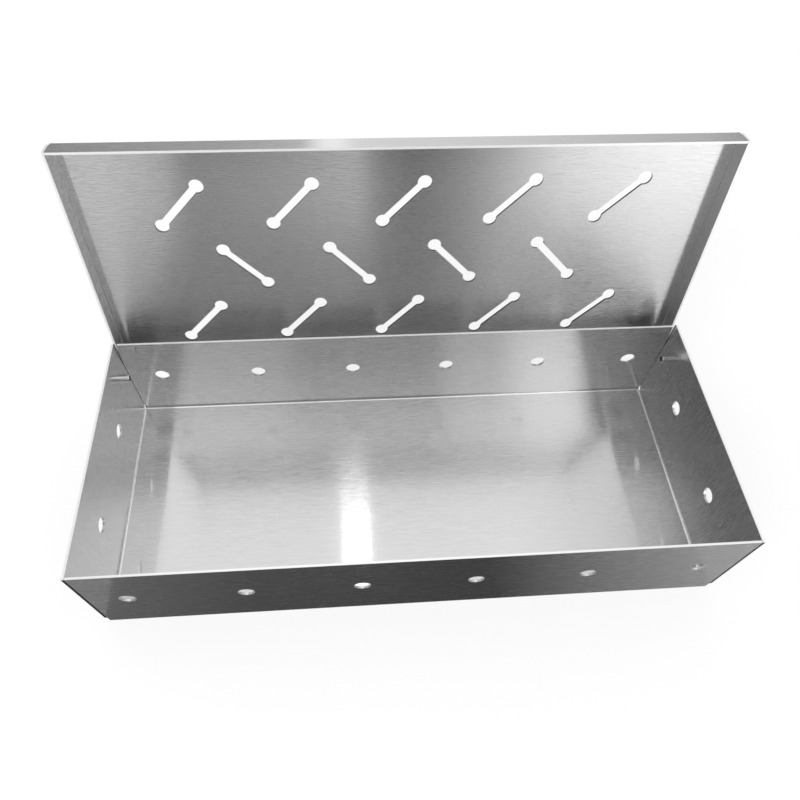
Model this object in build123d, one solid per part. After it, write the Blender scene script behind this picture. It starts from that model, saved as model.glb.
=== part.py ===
"""Stainless-steel smoker box: a folded tray, a perforated lid, and the two pins that the lid turns on.

The part stands as the tray stands on a table, with the lid open and leaning back against its stop.
Origin: centre of the tray's underside. +X to the right along the tray, +Y to the rear, +Z up.
"""
from build123d import *
import os
from math import acos, atan2, cos, degrees, hypot, radians, sin

# The sheet that both folded pieces are made of
sheet = 0.8
seam_gap = 0.12

# The tray
tray_length = 225.0
tray_depth = 94.0
tray_height = 45.0
tray_bend_inside = 0.8
tray_corner_trim = 3.0
rear_wall_drop = 0.8
end_wall_rear_round = 0.8
rear_slit_width = 1.0
rear_slit_depth = 13.0

# The round vents in the tray's walls
vent_diameter = 5.8
vent_height = 24.2
long_wall_vent_margin = 14.0
end_wall_vent_margin = 27.3
long_wall_vent_count = 6
end_wall_vent_count = 2

# The two hinge pins
pin_diameter = 3.0
pin_from_rear = 8.0
pin_below_rim = 12.5
pin_reach_inside = 3.6
pin_head_diameter = 6.4
pin_head_height = 1.5
pin_head_round = 0.9
pin_tip_chamfer = 0.3

# The lid
lid_bend_inside = 0.4
lid_flange_height = 7.6
lid_corner_trim = 0.6
lid_corner_round = 0.6
lid_open_lean = 10.3
ear_width = 9.0
ear_root_round = 2.0
stop_tab_width = 7.0

# The slots in the lid: a narrow slot with a round hole at each end
slot_width = 2.8
slot_end_diameter = 5.0
slot_end_spacing = 20.5
slot_angle = 45.0
slot_pitch = 38.8
slot_row_pitch = 24.9
first_slot_row_from_front = 22.8
slot_row_counts = (5, 4, 5)

# Clearances
lid_side_clearance = 0.3
lid_front_clearance = 0.5
lid_rear_clearance = 0.5
panel_sweep_clearance = 1.45
rim_rest_clearance = 0.1
stop_tab_clearance = 0.05
ear_bore_clearance = 0.05
wall_bore_clearance = 0.02
head_clearance = 0.2

# Places that follow from these sizes
end_face = tray_length / 2
front_face = -tray_depth / 2
rear_face = tray_depth / 2
end_inner_face = end_face - sheet
long_wall_end = end_inner_face - seam_gap
tray_bend_outside = tray_bend_inside + sheet
rear_wall_top = tray_height - rear_wall_drop
pin_y = rear_face - pin_from_rear
pin_z = tray_height - pin_below_rim

# The lid's panel turns on a radius longer than the tray's rear top corners reach from the pins
rear_wall_reach = hypot(pin_from_rear, pin_below_rim - rear_wall_drop)
rounded_centre_reach = hypot(pin_from_rear - end_wall_rear_round, pin_below_rim - end_wall_rear_round)
end_wall_reach = rounded_centre_reach + end_wall_rear_round
pin_to_panel = max(rear_wall_reach, end_wall_reach) + panel_sweep_clearance
pin_to_lid_front = pin_y - front_face + lid_front_clearance + sheet
pin_to_lid_rear = pin_from_rear + lid_rear_clearance + sheet
lid_depth = pin_to_lid_front + pin_to_lid_rear
lid_inner_half = end_face + lid_side_clearance
lid_half = lid_inner_half + sheet
lid_bend_outside = lid_bend_inside + sheet
flange_edge = pin_to_panel + sheet - lid_flange_height

# Open, the stop tabs' edges meet the rear wall's outer face; closed, the panel meets the front rim
lean = radians(lid_open_lean)
stop_tab_edge = (pin_from_rear + stop_tab_clearance + pin_to_lid_rear * sin(lean)) / cos(lean)
rim_front_reach = pin_y - front_face
rim_rest_height = pin_below_rim + rim_rest_clearance
rim_corner_reach = hypot(rim_front_reach, rim_rest_height)
closed_droop = degrees(atan2(rim_front_reach, rim_rest_height) - acos(pin_to_panel / rim_corner_reach))
opening_angle = 90 + lid_open_lean
lid_travel = opening_angle + closed_droop


def limited(radius, room):
    """A corner's radius, kept within the share of its wall that a neighbouring corner leaves it."""
    largest_share = 0.45
    return min(radius, largest_share * room)


def channel(width, height, inside_bend):
    """Section of one sheet folded up along two edges, centred on its width, with its underside at zero."""
    outside = Pos(0, height / 2) * Rectangle(width, height)
    outside = fillet(outside.vertices().group_by(Axis.Y)[0], inside_bend + sheet)
    inside = Pos(0, sheet + height / 2) * Rectangle(width - 2 * sheet, height)
    inside = fillet(inside.vertices().group_by(Axis.Y)[0], inside_bend)
    return outside - inside


def block(x_range, y_range, z_range):
    """A box between two values on each axis."""
    size = [high - low for low, high in (x_range, y_range, z_range)]
    middle = [(high + low) / 2 for low, high in (x_range, y_range, z_range)]
    return Pos(*middle) * Box(*size)


def both_ends(piece):
    """The piece and its mirror image at the other end of the object."""
    return [piece, mirror(piece, about=Plane.YZ)]


def plate_along_x(outline, inner_face):
    """A sheet-thick plate from an outline drawn in Y and Z, standing outward from a given X."""
    return extrude(Plane.YZ.offset(inner_face) * outline, amount=sheet)


def end_wall_outline():
    """End wall in Y and Z: lower corners trimmed back to its bend, rear top corner rounded for the lid."""
    trim_top = tray_bend_outside + tray_corner_trim
    fold_end = tray_bend_outside + seam_gap
    outline = make_face(Polyline(
        (front_face, tray_height),
        (front_face, trim_top),
        (front_face + fold_end, tray_bend_outside),
        (rear_face - fold_end, tray_bend_outside),
        (rear_face, trim_top),
        (rear_face, tray_height),
        close=True,
    ))
    rear_top = outline.vertices().sort_by(lambda v: v.X + v.Y)[-1]
    return fillet(rear_top, end_wall_rear_round)


def tray_long_fold():
    """Front wall, floor and rear wall, which stand between the end walls."""
    fold = extrude(Plane.YZ * channel(tray_depth, tray_height, tray_bend_inside), amount=long_wall_end, both=True)
    flat_floor = (front_face + tray_bend_outside, rear_face - tray_bend_outside)
    floor_end = end_face - tray_bend_outside
    fold -= both_ends(block((floor_end, end_face), flat_floor, (-sheet, 2 * sheet)))
    rear_wall = (rear_face - 2 * sheet, rear_face + sheet)
    fold -= block((-end_face, end_face), rear_wall, (rear_wall_top, tray_height + sheet))
    slit_outline = make_face(Polyline(
        (long_wall_end, tray_height - rear_slit_depth),
        (long_wall_end, tray_height),
        (long_wall_end - rear_slit_width, tray_height),
        close=True,
    ))
    slit = extrude(Plane.XZ.offset(-rear_face) * slit_outline, amount=2 * sheet, both=True)
    return fold - both_ends(slit)


def tray_end_fold():
    """The end walls and the floor between them."""
    fold_depth = tray_depth / 2 - tray_bend_outside - seam_gap
    fold = extrude(Plane.XZ * channel(tray_length, tray_height, tray_bend_inside), amount=fold_depth, both=True)
    return fold + both_ends(plate_along_x(end_wall_outline(), end_inner_face))


def vents():
    """Cutters for the round vents: one row through both long walls, one through both end walls."""
    through_depth = Rotation(90, 0, 0) * Cylinder(vent_diameter / 2, tray_depth + 2 * sheet)
    through_length = Rotation(0, 90, 0) * Cylinder(vent_diameter / 2, tray_length + 2 * sheet)
    long_wall_pitch = (tray_length - 2 * long_wall_vent_margin) / (long_wall_vent_count - 1)
    end_wall_pitch = (tray_depth - 2 * end_wall_vent_margin) / (end_wall_vent_count - 1)
    long_wall_row = [Pos(x, 0, vent_height) * through_depth for x in row(long_wall_vent_count, long_wall_pitch)]
    end_wall_row = [Pos(0, y, vent_height) * through_length for y in row(end_wall_vent_count, end_wall_pitch)]
    return long_wall_row + end_wall_row


def row(count, pitch):
    """Places in an evenly spaced row, centred on zero."""
    return [(index - (count - 1) / 2) * pitch for index in range(count)]


def base_tray():
    """The tray as one folded blank, with its vents and the bores that hold the pins."""
    tray = tray_long_fold() + tray_end_fold()
    tray -= vents()
    bore_radius = pin_diameter / 2 + wall_bore_clearance
    tray -= Pos(0, pin_y, pin_z) * Rotation(0, 90, 0) * Cylinder(bore_radius, tray_length + 2 * sheet)
    return tray


def slot(angle):
    """Outline of one slot: a straight slot between two round holes, turned from +X."""
    half = slot_end_spacing / 2
    holes = [Pos(x, 0) * Circle(slot_end_diameter / 2) for x in (-half, half)]
    return Rotation(0, 0, angle) * (Rectangle(slot_end_spacing, slot_width) + holes)


def slot_pattern():
    """All slots, drawn in X and Y on the closed lid; the rows lean by turns to one side and the other."""
    slots = []
    for row_index, count in enumerate(slot_row_counts):
        row_y = first_slot_row_from_front + row_index * slot_row_pitch - pin_to_lid_front
        lean_side = -1 if row_index % 2 == 0 else 1
        for x in row(count, slot_pitch):
            slots.append(Pos(x, row_y) * slot(lean_side * slot_angle))
    return slots


def side_flange_outline():
    """Side flange and hinge ear, in Y and Z about the pin, on the closed lid."""
    fold_end = lid_bend_outside + seam_gap
    fold_start = pin_to_panel + sheet - lid_bend_outside
    ear_half = ear_width / 2
    behind_ear = pin_to_lid_rear - ear_half
    flange = make_face(Polyline(
        (-pin_to_lid_front, flange_edge),
        (pin_to_lid_rear, flange_edge),
        (pin_to_lid_rear, fold_start - lid_corner_trim),
        (pin_to_lid_rear - fold_end, fold_start),
        (fold_end - pin_to_lid_front, fold_start),
        (-pin_to_lid_front, fold_start - lid_corner_trim),
        close=True,
    ))
    free_corners = flange.vertices().group_by(Axis.Y)[0]
    flange = fillet(free_corners, limited(lid_corner_round, behind_ear))
    ear = Circle(ear_half) + Pos(0, fold_start / 2) * Rectangle(ear_width, fold_start)
    outline = flange + ear
    roots = [outline.vertices().sort_by_distance((x, flange_edge, 0))[0] for x in (-ear_half, ear_half)]
    outline = fillet(roots, limited(ear_root_round, behind_ear))
    return outline - Circle(pin_diameter / 2 + ear_bore_clearance)


def closed_lid():
    """The lid lying level, with the pins' axis along X through zero."""
    panel_top = pin_to_panel + sheet
    middle_y = (pin_to_lid_rear - pin_to_lid_front) / 2
    turned_down = Pos(0, panel_top) * Rotation(0, 0, 180)
    long_section = turned_down * channel(lid_depth, lid_flange_height, lid_bend_inside)
    long_fold_end = lid_inner_half - seam_gap
    long_fold = extrude(Plane.YZ * Pos(middle_y, 0) * long_section, amount=long_fold_end, both=True)
    flat_panel = (lid_bend_outside - pin_to_lid_front, pin_to_lid_rear - lid_bend_outside)
    rear_flange = (flat_panel[1], pin_to_lid_rear + sheet)
    rear_flange_levels = (flange_edge - sheet, panel_top + sheet)
    tab_start = long_fold_end - stop_tab_width
    long_fold -= block((-tab_start, tab_start), rear_flange, rear_flange_levels)
    long_fold -= block((-lid_half, lid_half), rear_flange, (flange_edge - sheet, stop_tab_edge))
    panel_levels = (pin_to_panel - sheet, panel_top + sheet)
    long_fold -= both_ends(block((lid_half - lid_bend_outside, lid_half), flat_panel, panel_levels))
    end_section = turned_down * channel(2 * lid_half, lid_flange_height, lid_bend_inside)
    fold_depth = lid_depth / 2 - lid_bend_outside - seam_gap
    end_fold = Pos(0, middle_y, 0) * extrude(Plane.XZ * end_section, amount=fold_depth, both=True)
    side_flanges = both_ends(plate_along_x(side_flange_outline(), lid_inner_half))
    cutters = [extrude(Plane.XY.offset(pin_to_panel - sheet) * s, amount=3 * sheet) for s in slot_pattern()]
    return long_fold + end_fold + side_flanges - cutters


def lid():
    """The lid turned up and back about the pins, to where its stop tabs meet the tray's rear wall."""
    return Pos(0, pin_y, pin_z) * Rotation(-opening_angle, 0, 0) * closed_lid()


def hinge_pin():
    """The right-hand pin: domed head outside the ear, plain shank through ear and wall into the tray."""
    tip = end_inner_face - pin_reach_inside
    under_head = lid_half + head_clearance
    head_top = under_head + pin_head_height
    head_half = pin_head_diameter / 2
    domed = limited(pin_head_round, 2 * pin_head_height)
    section = make_face(Polyline(
        (tip, 0),
        (tip, pin_diameter / 2 - pin_tip_chamfer),
        (tip + pin_tip_chamfer, pin_diameter / 2),
        (under_head, pin_diameter / 2),
        (under_head, head_half),
        (head_top, head_half),
        (head_top, 0),
        close=True,
    ))
    rim_corner = section.vertices().sort_by(lambda v: v.X + v.Y)[-1]
    section = fillet(rim_corner, domed)
    return Pos(0, pin_y, pin_z) * revolve(Plane.XY * section, Axis.X)


right_hinge_pin = hinge_pin()
pieces = {
    "base_tray": base_tray(),
    "lid": lid(),
    "left_hinge_pin": mirror(right_hinge_pin, about=Plane.YZ),
    "right_hinge_pin": right_hinge_pin,
}

os.makedirs("parts", exist_ok=True)
for name, piece in pieces.items():
    export_step(piece, f"parts/{name}.step")

print(f"pins at y {pin_y:.3f}, z {pin_z:.3f}; pin to panel {pin_to_panel:.3f}")
print(f"lid travel from open to closed {lid_travel:.3f} degrees, of which {closed_droop:.3f} past level")
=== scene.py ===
"""The smoker box as the photograph shows it: brushed stainless steel, lid open, in soft studio light.

Everything is in metres, in the part's own frame: +X to the right along the tray, +Y to the rear, +Z up.
"""
import bpy
from math import cos, hypot, pi, radians, sin
from mathutils import Matrix, Vector
from mathutils.bvhtree import BVHTree

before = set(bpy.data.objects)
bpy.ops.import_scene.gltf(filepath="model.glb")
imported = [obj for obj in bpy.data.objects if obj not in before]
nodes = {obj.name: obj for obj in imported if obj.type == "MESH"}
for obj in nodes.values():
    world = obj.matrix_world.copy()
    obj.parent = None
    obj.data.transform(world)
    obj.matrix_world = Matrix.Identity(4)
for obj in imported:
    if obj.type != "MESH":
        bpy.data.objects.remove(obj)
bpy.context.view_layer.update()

MM = 0.001
Y_AXIS, Z_AXIS = 1, 2

# The sheet, the open lid's lean, the pins' place and half the size of the tray's foot, as constructed
SHEET = 0.8 * MM
LID_LEAN = radians(10.3)
PIN_PLACE = Vector((0, 39, 32.5)) * MM
PIN_TO_PANEL = 16 * MM
FRONT_FACE = -47 * MM
TRAY_FOOT = (112 * MM, 46.6 * MM)

# The camera, as fitted to the photograph
CAMERA_PLACE = Vector((-21.3, -120.0, 244.1)) * MM
CAMERA_TURN_RIGHT = radians(6.07)
CAMERA_LOOK_DOWN = radians(56.66)
CAMERA_ROLL = radians(2.78)
CAMERA_LENS = 29.39
CAMERA_SENSOR = 36.0
CAMERA_SHIFT = (0.0138, 0.0142)
CAMERA_CLIP = (0.01, 100.0)

# How far a face has to point along an axis to count as an end, as level, as flat or as a pin's end
END_FACING = 0.7
LEVEL_FACING = 0.9
FLAT_FACING = 0.985
PIN_END_FACING = 0.9

# The steel: its flat lands are smooth, and its grooves are rougher the more their sides lean
STEEL_COLOUR = 0.74
STEEL_STRETCH = 1.0
TRAY_LAND_ROUGHNESS = 0.07
LID_LAND_ROUGHNESS = 0.17
FLOOR_GROOVE_ROUGHNESS = 0.28
WALL_GROOVE_ROUGHNESS = 0.28
LID_GROOVE_ROUGHNESS = 0.42
ROUGHEST_LEAN = 0.4
FLOOR_GROOVE_LEAN = 0.18
WALL_GROOVE_LEAN = 0.20
LID_GROOVE_LEAN = 0.20
# The bends' colours are painted light and shade: lighter than the steel on the tray, as a painted highlight
# along its folds, and darker on the lid, as painted shade along its folds
TRAY_BEND_HIGHLIGHT_COLOUR = 0.90
LID_BEND_SHADE_COLOUR = 0.55
BEND_ROUGHNESS = 0.18

# The grain's noise, by its width, length and detail, and how strongly it shades each surface. The noise is
# turned, so that its own grid doesn't show
FINE_GRAIN = (0.05 * MM, 6 * MM, 1.0)
COARSE_GRAIN = (0.40 * MM, 16 * MM, 2.0)
FLOOR_GRAIN = 0.035
WALL_GRAIN = 0.004
LID_GRAIN = 0.004
WAVE_LENGTH = 60 * MM
WAVE_DETAIL = 1.0
RELIEF = 0.04
NOISE_TURN = (0.6, 0.5, 0.4)
NOISE_MIDDLE = 0.5
NOISE_GAIN = 2.0
NUDGE = 0.001

# The cut edges of the rims, the vents and the slots, and the fine marks on them
# The rims' cut edges, and the lid's flanges' free edges, are near white: real cut edges with a painted
# highlight
RIM_HIGHLIGHT_COLOUR = 0.93
RIM_ROUGHNESS = 0.38
RIM_METAL = 0.45
VENT_COLOUR = 0.80
VENT_ROUGHNESS = 0.30
# The slots' cut edges are near black: painted shade in the lid panel's slots and along its edges, and in the
# tray's corners
SLOT_SHADE_COLOUR = 0.06
SLOT_ROUGHNESS = 0.45
EDGE_MARK = 0.5 * MM
EDGE_DETAIL = 3.0
EDGE_ROUGHNESS_SWING = 0.06
SHADE_SWING = 0.08

# The pins, with the lathe's rings
PIN_COLOUR = 0.72
# The pins' inner ends are near black, as painted shade
PIN_END_SHADE_COLOUR = 0.07
PIN_ROUGHNESS = 0.10
PIN_ROUGHNESS_SWING = 0.04
RING_WIDTH = 0.12 * MM
RING_DEPTH = 0.004 * MM
RING_DETAIL = 2.0

# What tells a cut edge from a face: more metal behind it, from just under its skin, than the sheet is thick
SKIN = 0.01 * MM
EDGE_DEPTH = 1.9 * SHEET

# Where the edges lie: the tray's rims are above a height, its vents are within a reach of the middle in
# length or in depth, the lid's flanges end nearer to the pins than its panel, and the pins' inner ends are
# within a reach of the middle
RIM_HEIGHT = 40 * MM
VENT_REACH = (105 * MM, 40 * MM)
FLANGE_REACH = 15.5 * MM
PIN_INNER_REACH = 110 * MM

# The Mix node's sockets for two vectors and for the vector that comes out
MIX_VECTOR_OFF, MIX_VECTOR_ON, MIX_VECTOR_RESULT = 4, 5, 1

# The studio: its floor, its white world and the distances of what gloss shows round the object
FLOOR_SIZE = 12.0
FLOOR_COLOUR = 0.95
FLOOR_ROUGHNESS = 0.9
FLOOR_GLOW = 0.70
SKY_LIGHT = 0.93
NEAR = 0.6
FAR = 2.0

# The cards on the floor, by one of their edges and by their height
FRONT_CARD_EDGE = -146 * MM
FRONT_CARD_LIFT = 1 * MM
NEAR_CARD_EDGE = -145 * MM
REAR_CARD_EDGE = 50 * MM
END_CARD_EDGE = 114 * MM
CARD_LIFT = 0.3 * MM

# The steps of the tent round the object: sideways slopes, finer in the middle, and heights in degrees
INNER_REACH = 0.6
INNER_STEP = 0.01
INNER_COUNT = 121
OUTER_START = 0.7
OUTER_STEP = 0.1
OUTER_COUNT = 24
HEIGHT_START = -1
HEIGHT_STEP = 2
HEIGHT_COUNT = 92

# About how far the camera stands from the line along the box that the tent goes round
CAMERA_REACH = 0.27

# What gloss shows of the studio, as (slope, brightness) steps from left to right, where the slope is
# sideways, as seen from the camera's mirror image: before the lid, and just before the front face
LID_TONES = (
    (-0.45, 0.84), (-0.34, 0.9), (-0.245, 0.7), (-0.23, 0.27), (-0.08, 0.45), (0.0, 0.66), (0.025, 0.77),
    (0.05, 0.3), (0.105, 0.13), (0.19, 0.36), (0.34, 1.2), (0.45, 1.45), (0.6, 1.65),
)
FRONT_WALL_TONES = ((-0.5, 0.17), (-0.15, 0.075), (0.2, 0.055), (0.55, 0.34), (0.9, 0.58))

# The rows of the tent above the lid's tones, with the same steps: the lid shows the first two by way of the
# front wall, the rear wall the third by way of the tray's floor, the floor's rear and front the next two,
# and the lid's front flange the last
LOW_ROW = (
    (-0.5, 1.0), (-0.36, 0.9), (-0.3, 0.75), (-0.12, 0.8), (-0.03, 1.3), (0.01, 1.2), (0.05, 0.5),
    (0.2, 0.55), (0.3, 1.5), (0.5, 2.4),
)
DARK_ROW = (
    (-0.5, 0.6), (-0.3, 0.3), (-0.1, 0.3), (-0.02, 0.5), (0.03, 0.2), (0.22, 0.5), (0.3, 1.8), (0.5, 3.0),
)
REAR_WALL_ROW = (
    (-0.34, 0.01), (-0.275, 0.01), (-0.262, 0.34), (-0.12, 0.26), (-0.06, 0.01), (0.13, 0.01), (0.175, 0.42),
    (0.24, 0.45), (0.29, 1.1), (0.385, 1.2), (0.405, 0.01), (0.6, 0.01), (0.9, 0.6),
)
HIGH_ROW = (
    (-0.8, 0.7), (-0.5, 0.1), (-0.34, 0.1), (-0.3, 1.35), (-0.12, 1.25), (-0.06, 1.15), (0.13, 1.15),
    (0.2, 1.25), (0.36, 1.3), (0.4, 0.1), (0.6, 0.1), (0.9, 0.7),
)
TOP_ROW = (
    (-0.8, 0.7), (-0.5, 0.1), (-0.4, 0.1), (-0.36, 0.96), (0.0, 1.0), (0.24, 1.0), (0.36, 0.85), (0.5, 0.7),
    (0.8, 0.6),
)
REAR_ROW = (
    (-0.5, 0.24), (-0.15, 0.36), (-0.05, 0.52), (-0.025, 1.2), (0.0, 1.2), (0.02, 0.88), (0.2, 0.8),
    (0.5, 0.58), (0.56, 0.4),
)

# The tent's rows, from the front horizon over the top to the rear one: height in degrees, distance and tones
TENT_ROWS = (
    (-1, NEAR, LID_TONES), (18, NEAR, LID_TONES),
    (21, NEAR, LOW_ROW), (23, NEAR, LOW_ROW),
    (26, NEAR, DARK_ROW), (36, NEAR, DARK_ROW),
    (42, NEAR, REAR_WALL_ROW), (55, NEAR, REAR_WALL_ROW),
    (57, FAR, HIGH_ROW), (86, FAR, HIGH_ROW),
    (94, FAR, TOP_ROW), (130, FAR, TOP_ROW),
    (144, FAR, REAR_ROW), (181, FAR, REAR_ROW),
)

# The tones of the cards behind and beside the box, as (place, brightness) steps along them in metres
REAR_FLOOR_TONES = (
    (-0.6, 0.45), (-0.25, 0.6), (-0.1, 0.35), (0.05, 0.5), (0.12, 0.85), (0.3, 0.6), (0.6, 0.4),
)
END_FLOOR_TONES = ((-0.6, 0.5), (-0.08, 0.4), (0.02, 0.7), (0.1, 0.45), (0.6, 0.6))


def add_object(name, data):
    """A new object in the scene."""
    obj = bpy.data.objects.new(name, data)
    bpy.context.scene.collection.objects.link(obj)
    return obj


def camera():
    """The camera at the photograph's place, with its lens and framing."""
    data = bpy.data.cameras.new("camera")
    data.lens = CAMERA_LENS
    data.sensor_width = CAMERA_SENSOR
    data.shift_x, data.shift_y = CAMERA_SHIFT
    data.clip_start, data.clip_end = CAMERA_CLIP
    obj = add_object("camera", data)
    turn = Matrix.Rotation(-CAMERA_TURN_RIGHT, 4, "Z")
    tilt = Matrix.Rotation(pi / 2 - CAMERA_LOOK_DOWN, 4, "X")
    roll = Matrix.Rotation(CAMERA_ROLL, 4, "Z")
    obj.matrix_world = Matrix.Translation(CAMERA_PLACE) @ turn @ tilt @ roll
    bpy.context.scene.camera = obj


def fill(tree, node, inputs):
    """Set a node's inputs to values, or link them to outputs."""
    for name, value in inputs.items():
        if isinstance(value, bpy.types.NodeSocket):
            tree.links.new(value, node.inputs[name])
        else:
            node.inputs[name].default_value = value


def new_node(tree, kind, inputs=None, **settings):
    """A shader node with its settings and its inputs."""
    node = tree.nodes.new(kind)
    for name, value in settings.items():
        setattr(node, name, value)
    fill(tree, node, inputs or {})
    return node


def maths(tree, operation, first, second=0.0):
    """A sum, product or other operation on two numbers."""
    return new_node(tree, "ShaderNodeMath", {0: first, 1: second}, operation=operation).outputs[0]


def times_plus(tree, number, factor, base):
    """A number times a factor, plus a base."""
    return maths(tree, "ADD", maths(tree, "MULTIPLY", number, factor), base)


def choose(tree, mask, off, on):
    """One number where the mask is zero, and the other where it is one."""
    return new_node(tree, "ShaderNodeMix", {"Factor": mask, "A": off, "B": on}, data_type="FLOAT").outputs[0]


def vector_maths(tree, operation, first, second=(0, 0, 0)):
    """An operation on two vectors."""
    return new_node(tree, "ShaderNodeVectorMath", {0: first, 1: second}, operation=operation).outputs[0]


def scaled(tree, vector, factor):
    """A vector times a number."""
    return new_node(tree, "ShaderNodeVectorMath", {0: vector, "Scale": factor}, operation="SCALE").outputs[0]


def absolute_parts(tree, vector):
    """The three parts of a vector, without their signs."""
    return new_node(tree, "ShaderNodeSeparateXYZ", {0: vector_maths(tree, "ABSOLUTE", vector)}).outputs


def set_upright(tree, vector, lean):
    """A vector as it would be if its sheet didn't lean."""
    inputs = {"Vector": vector, "Angle": lean}
    return new_node(tree, "ShaderNodeVectorRotate", inputs, rotation_type="X_AXIS").outputs[0]


def grey(tree, shade):
    """A neutral colour of the given brightness."""
    return new_node(tree, "ShaderNodeCombineColor", {0: shade, 1: shade, 2: shade}).outputs[0]


def centred_noise(tree, place, detail):
    """Noise that swings evenly to both sides of zero."""
    noise = new_node(tree, "ShaderNodeTexNoise", {"Vector": place, "Scale": 1.0, "Detail": detail})
    return maths(tree, "MULTIPLY", maths(tree, "SUBTRACT", noise.outputs["Fac"], NOISE_MIDDLE), NOISE_GAIN)


def grain(tree, place, at_end, end_grain_axis, width, length, detail):
    """Noise drawn out along the box, or along another axis on the faces at its ends."""
    along_end = [1 / width] * 3
    along_end[end_grain_axis] = 1 / length
    along_box = (1 / length, 1 / width, 1 / width)
    inputs = {"Factor": at_end, MIX_VECTOR_OFF: along_box, MIX_VECTOR_ON: along_end}
    stretch = new_node(tree, "ShaderNodeMix", inputs, data_type="VECTOR").outputs[MIX_VECTOR_RESULT]
    stretched = vector_maths(tree, "MULTIPLY", place, stretch)
    inputs = {"Vector": stretched, "Rotation": NOISE_TURN}
    askew = new_node(tree, "ShaderNodeVectorRotate", inputs, rotation_type="EULER_XYZ").outputs[0]
    return centred_noise(tree, askew, detail)


def across_grain(tree, normal, lean, end_grain_axis):
    """The direction across the grain in the world, with a nudge that settles it on the faces at the ends."""
    at_end = (0, sin(lean), cos(lean)) if end_grain_axis == Y_AXIS else (0, cos(lean), -sin(lean))
    across = vector_maths(tree, "CROSS_PRODUCT", normal, (1, 0, 0))
    across = vector_maths(tree, "ADD", across, [NUDGE * part for part in at_end])
    across = vector_maths(tree, "NORMALIZE", across)
    turn = {"vector_type": "VECTOR", "convert_from": "OBJECT", "convert_to": "WORLD"}
    return new_node(tree, "ShaderNodeVectorTransform", {0: across}, **turn).outputs[0]


def principled(name):
    """A new material with its shader."""
    material = bpy.data.materials.new(name)
    material.use_nodes = True
    return material, material.node_tree, material.node_tree.nodes["Principled BSDF"]


def brushed_steel(
    name, lean, end_grain_axis, land_roughness, wall_roughness, wall_lean, floor_grain, wall_grain,
    painted_bend_tone,
):
    """Sheet brushed along its length before it was folded, so that the grain turns up with the folded ends.

    The grain is fine grooves whose sides lean across it, and it stretches the highlights across. The lean is
    the sheet's own, as built, and the axis is the one along which the grain runs on the faces at the ends.
    Level faces have the floor's grooves and grain, and the others the walls'. The bends have no grooves, but
    a roughness of their own and a painted colour. It is lighter than the sheet on the tray, as a painted
    highlight along its folds, and darker on the lid, as painted shade along its folds.
    """
    material, tree, shader = principled(name)
    place = new_node(tree, "ShaderNodeTexCoord").outputs
    upright = set_upright(tree, place["Object"], lean)
    facing = absolute_parts(tree, set_upright(tree, place["Normal"], lean))
    at_end = maths(tree, "GREATER_THAN", facing["X"], END_FACING)
    level = maths(tree, "GREATER_THAN", facing["Z"], LEVEL_FACING)
    flattest = maths(tree, "MAXIMUM", maths(tree, "MAXIMUM", facing["X"], facing["Y"]), facing["Z"])
    in_bend = maths(tree, "LESS_THAN", flattest, FLAT_FACING)

    fine = grain(tree, upright, at_end, end_grain_axis, *FINE_GRAIN)
    coarse = grain(tree, upright, at_end, end_grain_axis, *COARSE_GRAIN)
    waves = centred_noise(tree, scaled(tree, upright, 1 / WAVE_LENGTH), WAVE_DETAIL)
    marks = maths(tree, "MULTIPLY", coarse, choose(tree, level, wall_grain, floor_grain))
    # The bends take a painted colour in place of the steel's: a painted highlight on the tray, painted shade
    # on the lid
    shade = choose(tree, in_bend, maths(tree, "ADD", marks, STEEL_COLOUR), painted_bend_tone)
    groove = new_node(tree, "ShaderNodeMapRange", {
        "Value": maths(tree, "ABSOLUTE", fine),
        "From Min": 0.0,
        "From Max": ROUGHEST_LEAN,
        "To Min": land_roughness,
        "To Max": choose(tree, level, wall_roughness, FLOOR_GROOVE_ROUGHNESS),
    })

    height = maths(tree, "MULTIPLY", maths(tree, "ADD", marks, waves), RELIEF)
    bump = new_node(tree, "ShaderNodeBump", {"Strength": 1.0, "Distance": MM, "Height": height})
    across = across_grain(tree, place["Normal"], lean, end_grain_axis)
    groove_lean = maths(tree, "MULTIPLY", fine, choose(tree, level, wall_lean, FLOOR_GROOVE_LEAN))
    sideways = scaled(tree, across, choose(tree, in_bend, groove_lean, 0.0))
    fill(tree, shader, {
        "Base Color": grey(tree, shade),
        "Roughness": choose(tree, in_bend, groove.outputs["Result"], BEND_ROUGHNESS),
        "Normal": vector_maths(tree, "NORMALIZE", vector_maths(tree, "ADD", bump.outputs[0], sideways)),
        "Tangent": across,
        "Metallic": 1.0,
        "Anisotropic": STEEL_STRETCH,
    })
    return material


def cut_edge(name, brightness, roughness, metal):
    """A cut edge of the sheet, with fine marks from the shears or the punch."""
    material, tree, shader = principled(name)
    place = new_node(tree, "ShaderNodeTexCoord").outputs["Object"]
    marks = centred_noise(tree, scaled(tree, place, 1 / EDGE_MARK), EDGE_DETAIL)
    fill(tree, shader, {
        "Base Color": grey(tree, times_plus(tree, marks, SHADE_SWING * brightness, brightness)),
        "Roughness": times_plus(tree, marks, EDGE_ROUGHNESS_SWING, roughness),
        "Metallic": metal,
    })
    return material


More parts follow.
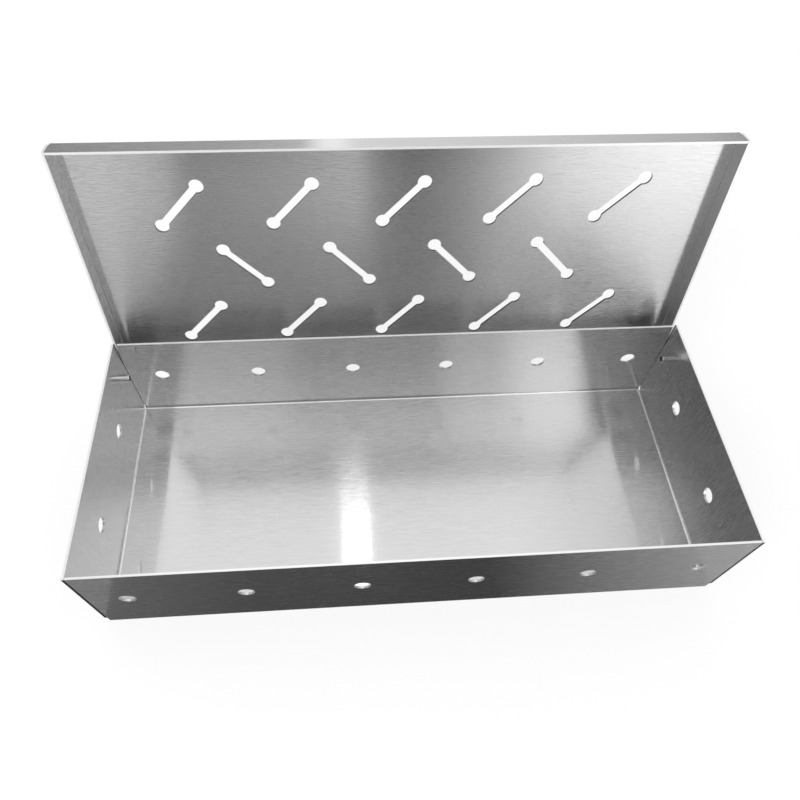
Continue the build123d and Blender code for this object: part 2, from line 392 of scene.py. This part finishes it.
def turned_steel(name, brightness):
    """Steel with the fine rings that the lathe leaves round the pins' line."""
    material, tree, shader = principled(name)
    place = new_node(tree, "ShaderNodeTexCoord").outputs["Object"]
    from_pins = vector_maths(tree, "SUBTRACT", place, PIN_PLACE)
    off = new_node(tree, "ShaderNodeSeparateXYZ", {0: from_pins}).outputs
    outward = new_node(tree, "ShaderNodeCombineXYZ", {"Y": off["Y"], "Z": off["Z"]}).outputs[0]
    radius = new_node(tree, "ShaderNodeVectorMath", {0: outward}, operation="LENGTH").outputs["Value"]
    rings = new_node(tree, "ShaderNodeCombineXYZ", {"X": off["X"], "Y": radius}).outputs[0]
    marks = centred_noise(tree, scaled(tree, rings, 1 / RING_WIDTH), RING_DETAIL)
    bump = new_node(tree, "ShaderNodeBump", {"Strength": 1.0, "Distance": RING_DEPTH, "Height": marks})
    fill(tree, shader, {
        "Base Color": grey(tree, times_plus(tree, marks, SHADE_SWING * brightness, brightness)),
        "Roughness": times_plus(tree, marks, PIN_ROUGHNESS_SWING, PIN_ROUGHNESS),
        "Normal": bump.outputs[0],
        "Metallic": 1.0,
    })
    return material


def set_materials(mesh, materials):
    """The mesh's material slots, in place of those that it had."""
    mesh.materials.clear()
    for material in materials:
        mesh.materials.append(material)


def dress_sheet(piece, materials, edge_slot):
    """The first material on the sheet's faces, and the others on its cut edges, where the metal is deep."""
    mesh = piece.data
    set_materials(mesh, materials)
    corners = [vertex.co.copy() for vertex in mesh.vertices]
    tree = BVHTree.FromPolygons(corners, [list(polygon.vertices) for polygon in mesh.polygons])
    for polygon in mesh.polygons:
        depth = tree.ray_cast(polygon.center - polygon.normal * SKIN, -polygon.normal)[3]
        on_face = depth is not None and depth < EDGE_DEPTH
        polygon.material_index = 0 if on_face else edge_slot(polygon.center)


def dress_pin(piece, steel, end):
    """Steel on the pin, and near-black steel on its inner end as painted shade."""
    mesh = piece.data
    set_materials(mesh, (steel, end))
    for polygon in mesh.polygons:
        inner = abs(polygon.center.x) < PIN_INNER_REACH
        polygon.material_index = 1 if inner and abs(polygon.normal.x) > PIN_END_FACING else 0


def tray_edge_slot(place):
    """The material slot of a cut edge of the tray: 1 for its rims, with a painted highlight, 2 for its vents
    and 3 for its corners, near black as painted shade.
    """
    if place.z > RIM_HEIGHT:
        return 1
    return 2 if abs(place.x) < VENT_REACH[0] or abs(place.y) < VENT_REACH[1] else 3


def lid_edge_slot(place):
    """The material slot of a cut edge of the lid: 1 for its flanges' free edges, with a painted highlight,
    and 2 for its panel's, near black as painted shade.
    """
    off = place - PIN_PLACE
    return 1 if off.y * cos(LID_LEAN) - off.z * sin(LID_LEAN) < FLANGE_REACH else 2


def seen_rays(tree):
    """One for the rays that show the background, and zero for those that only carry light."""
    path = new_node(tree, "ShaderNodeLightPath").outputs
    shown = maths(tree, "ADD", path["Is Camera Ray"], path["Is Glossy Ray"])
    shown = maths(tree, "ADD", shown, path["Is Transmission Ray"])
    return maths(tree, "MINIMUM", shown, 1.0)


def sky():
    """A plain white world, somewhat dimmer as a light than as a background."""
    world = bpy.data.worlds.new("studio")
    bpy.context.scene.world = world
    world.use_nodes = True
    tree = world.node_tree
    strength = times_plus(tree, seen_rays(tree), 1 - SKY_LIGHT, SKY_LIGHT)
    fill(tree, tree.nodes["Background"], {"Color": (1, 1, 1, 1), "Strength": strength})


def studio_floor():
    """A white floor that keeps the object's soft shadow, and is dark where the tray stands on it."""
    half = FLOOR_SIZE / 2
    mesh = bpy.data.meshes.new("floor")
    corners = [(-half, -half, 0), (half, -half, 0), (half, half, 0), (-half, half, 0)]
    mesh.from_pydata(corners, [], [(0, 1, 2, 3)])
    floor = add_object("floor", mesh)
    material, tree, shader = principled("floor")
    fill(tree, shader, {
        "Base Color": (FLOOR_COLOUR, FLOOR_COLOUR, FLOOR_COLOUR, 1),
        "Roughness": FLOOR_ROUGHNESS,
    })
    reach = absolute_parts(tree, new_node(tree, "ShaderNodeNewGeometry").outputs["Position"])
    beside = maths(tree, "GREATER_THAN", reach["X"], TRAY_FOOT[0])
    before = maths(tree, "GREATER_THAN", reach["Y"], TRAY_FOOT[1])
    seen = maths(tree, "MULTIPLY", seen_rays(tree), maths(tree, "MAXIMUM", beside, before))
    share = maths(tree, "MULTIPLY", seen, FLOOR_GLOW)
    glow = new_node(tree, "ShaderNodeEmission", {"Color": (1, 1, 1, 1), "Strength": 1.0})
    mix = new_node(tree, "ShaderNodeMixShader", {0: share, 1: shader.outputs[0], 2: glow.outputs[0]})
    fill(tree, tree.nodes["Material Output"], {"Surface": mix.outputs[0]})
    mesh.materials.append(material)


def lamp(name, place, aim, size, power, glossy):
    """A soft lamp, which may be left out of the gloss."""
    data = bpy.data.lights.new(name, "AREA")
    data.shape = "RECTANGLE"
    data.size, data.size_y = size
    data.energy = power
    obj = add_object(name, data)
    place = Vector(place)
    look = (Vector(aim) - place).to_track_quat("-Z", "Y")
    obj.matrix_world = Matrix.Translation(place) @ look.to_matrix().to_4x4()
    obj.visible_glossy = glossy


def gloss_card(name, verts, faces, tones):
    """A studio card that only gloss shows, with a brightness for each of its corners."""
    mesh = bpy.data.meshes.new(name)
    mesh.from_pydata(verts, [], faces)
    colours = mesh.color_attributes.new("tone", "FLOAT_COLOR", "POINT")
    for index, tone in enumerate(tones):
        colours.data[index].color = (tone, tone, tone, 1)
    obj = add_object(name, mesh)
    material, tree, shader = principled(name)
    tree.nodes.remove(shader)
    tone = new_node(tree, "ShaderNodeAttribute", attribute_name="tone").outputs["Color"]
    glow = new_node(tree, "ShaderNodeEmission", {"Color": tone, "Strength": 1.0})
    fill(tree, tree.nodes["Material Output"], {"Surface": glow.outputs[0]})
    mesh.materials.append(material)
    obj.visible_camera = False
    obj.visible_diffuse = False
    obj.visible_shadow = False
    obj.visible_transmission = False


def card(name, near, far, tones):
    """A flat card from a near to a far line, whose tones each stand at a place along these lines."""
    verts = []
    shades = []
    for along, tone in tones:
        verts += [near(along), far(along)]
        shades += [tone, tone]
    faces = [(2 * i, 2 * i + 2, 2 * i + 3, 2 * i + 1) for i in range(len(tones) - 1)]
    gloss_card(name, verts, faces, shades)


def mirrored_camera(on_mirror, normal):
    """The camera's mirror image in a plane through a point."""
    off = CAMERA_PLACE - on_mirror
    return CAMERA_PLACE - 2 * off.dot(normal) * normal


def fan(y, z, seen_from):
    """Places on a card at a given y and z, by the sideways slope at which they are seen from a point."""
    reach = hypot(y - seen_from.y, z - seen_from.z)
    return lambda slope: (seen_from.x + slope * reach, y, z)


def line_along(y):
    """Places just over the floor on a line along the box."""
    return lambda x: (x, y, CARD_LIFT)


def line_across(x):
    """Places just over the floor on a line across the box."""
    return lambda y: (x, y, CARD_LIFT)


def between(steps, at):
    """The value at a place in a row of (place, value) steps, blended between the two nearest."""
    if at <= steps[0][0]:
        return steps[0][1]
    for (low, first), (high, second) in zip(steps, steps[1:]):
        if at <= high:
            return first + (second - first) * (at - low) / (high - low)
    return steps[-1][1]


def tent():
    """The studio round the object, as far as gloss shows it: rows of tones on a tunnel along the box."""
    outer = [OUTER_START + OUTER_STEP * index for index in range(OUTER_COUNT)]
    inner = [-INNER_REACH + INNER_STEP * index for index in range(INNER_COUNT)]
    slopes = [-slope for slope in reversed(outer)] + inner + outer
    heights = [HEIGHT_START + HEIGHT_STEP * index for index in range(HEIGHT_COUNT)]
    radii = [(height, radius) for height, radius, tones in TENT_ROWS]
    columns = [[(height, between(tones, slope)) for height, radius, tones in TENT_ROWS] for slope in slopes]
    verts = []
    shades = []
    for height in heights:
        lift = radians(height)
        radius = between(radii, height)
        for slope, column in zip(slopes, columns):
            x = CAMERA_PLACE.x + slope * (radius + CAMERA_REACH)
            verts.append((x, -radius * cos(lift), radius * sin(lift)))
            shades.append(between(column, height))
    width = len(slopes)
    faces = []
    for line in range(len(heights) - 1):
        for column in range(width - 1):
            corner = line * width + column
            faces.append((corner, corner + 1, corner + width + 1, corner + width))
    gloss_card("tent", verts, faces, shades)


def cards():
    """The cards on the floor round the box, which its upright faces show."""
    lid_normal = Vector((0, cos(LID_LEAN), -sin(LID_LEAN)))
    in_lid = mirrored_camera(PIN_PLACE + PIN_TO_PANEL * lid_normal, lid_normal)
    lid_near = fan(FRONT_CARD_EDGE, FRONT_CARD_LIFT, in_lid)
    lid_far = fan(-NEAR, FRONT_CARD_LIFT, in_lid)
    card("front_card", lid_near, lid_far, LID_TONES)

    in_front = mirrored_camera(Vector((0, FRONT_FACE, 0)), Vector((0, 1, 0)))
    face_near = fan(FRONT_FACE, CARD_LIFT, in_front)
    face_far = fan(NEAR_CARD_EDGE, CARD_LIFT, in_front)
    card("near_card", face_near, face_far, FRONT_WALL_TONES)

    card("rear_card", line_along(REAR_CARD_EDGE), line_along(NEAR), REAR_FLOOR_TONES)
    for name, side in (("left_card", -1), ("right_card", 1)):
        card(name, line_across(side * END_CARD_EDGE), line_across(side * NEAR), END_FLOOR_TONES)


camera()
sky()
studio_floor()

# A small lamp, whose mirror image is the bright patch on the tray's floor, and a large one for the light
lamp(
    "overhead", place=(-0.021, 0.41, 1.13), aim=(-0.021, -0.03, 0), size=(0.062, 0.14), power=0.07,
    glossy=True,
)
lamp(
    "front_left", place=(-0.9, -0.9, 1.1), aim=(0, 0, 0.05), size=(0.8, 0.8), power=9.0,
    glossy=False,
)
tent()
cards()

tray_steel = brushed_steel(
    "tray_steel", lean=0.0, end_grain_axis=Z_AXIS,
    land_roughness=TRAY_LAND_ROUGHNESS, wall_roughness=WALL_GROOVE_ROUGHNESS, wall_lean=WALL_GROOVE_LEAN,
    floor_grain=FLOOR_GRAIN, wall_grain=WALL_GRAIN, painted_bend_tone=TRAY_BEND_HIGHLIGHT_COLOUR,
)
lid_steel = brushed_steel(
    "lid_steel", lean=LID_LEAN, end_grain_axis=Y_AXIS,
    land_roughness=LID_LAND_ROUGHNESS, wall_roughness=LID_GROOVE_ROUGHNESS, wall_lean=LID_GROOVE_LEAN,
    floor_grain=LID_GRAIN, wall_grain=LID_GRAIN, painted_bend_tone=LID_BEND_SHADE_COLOUR,
)
# Near-white cut edges on the rims and the lid's flanges: real cut edges with a painted highlight
highlit_rim_edge = cut_edge("sheared_edge_painted_highlight", RIM_HIGHLIGHT_COLOUR, RIM_ROUGHNESS, metal=RIM_METAL)
vent_edge = cut_edge("vent_edge", VENT_COLOUR, VENT_ROUGHNESS, metal=1.0)
# Near-black cut edges in the lid panel's slots and edges and in the tray's corners: painted shade
shaded_slot_edge = cut_edge("shaded_slot_edge", SLOT_SHADE_COLOUR, SLOT_ROUGHNESS, metal=1.0)
pin_steel = turned_steel("pin_steel", PIN_COLOUR)
# The pins' inner ends in near-black steel: painted shade
shaded_pin_end = turned_steel("shaded_pin_end", PIN_END_SHADE_COLOUR)

dress_sheet(nodes["base_tray"], (tray_steel, highlit_rim_edge, vent_edge, shaded_slot_edge), tray_edge_slot)
dress_sheet(nodes["lid"], (lid_steel, highlit_rim_edge, shaded_slot_edge), lid_edge_slot)
for name in ("left_hinge_pin", "right_hinge_pin"):
    dress_pin(nodes[name], pin_steel, shaded_pin_end)

bpy.context.scene.view_settings.view_transform = "Standard"
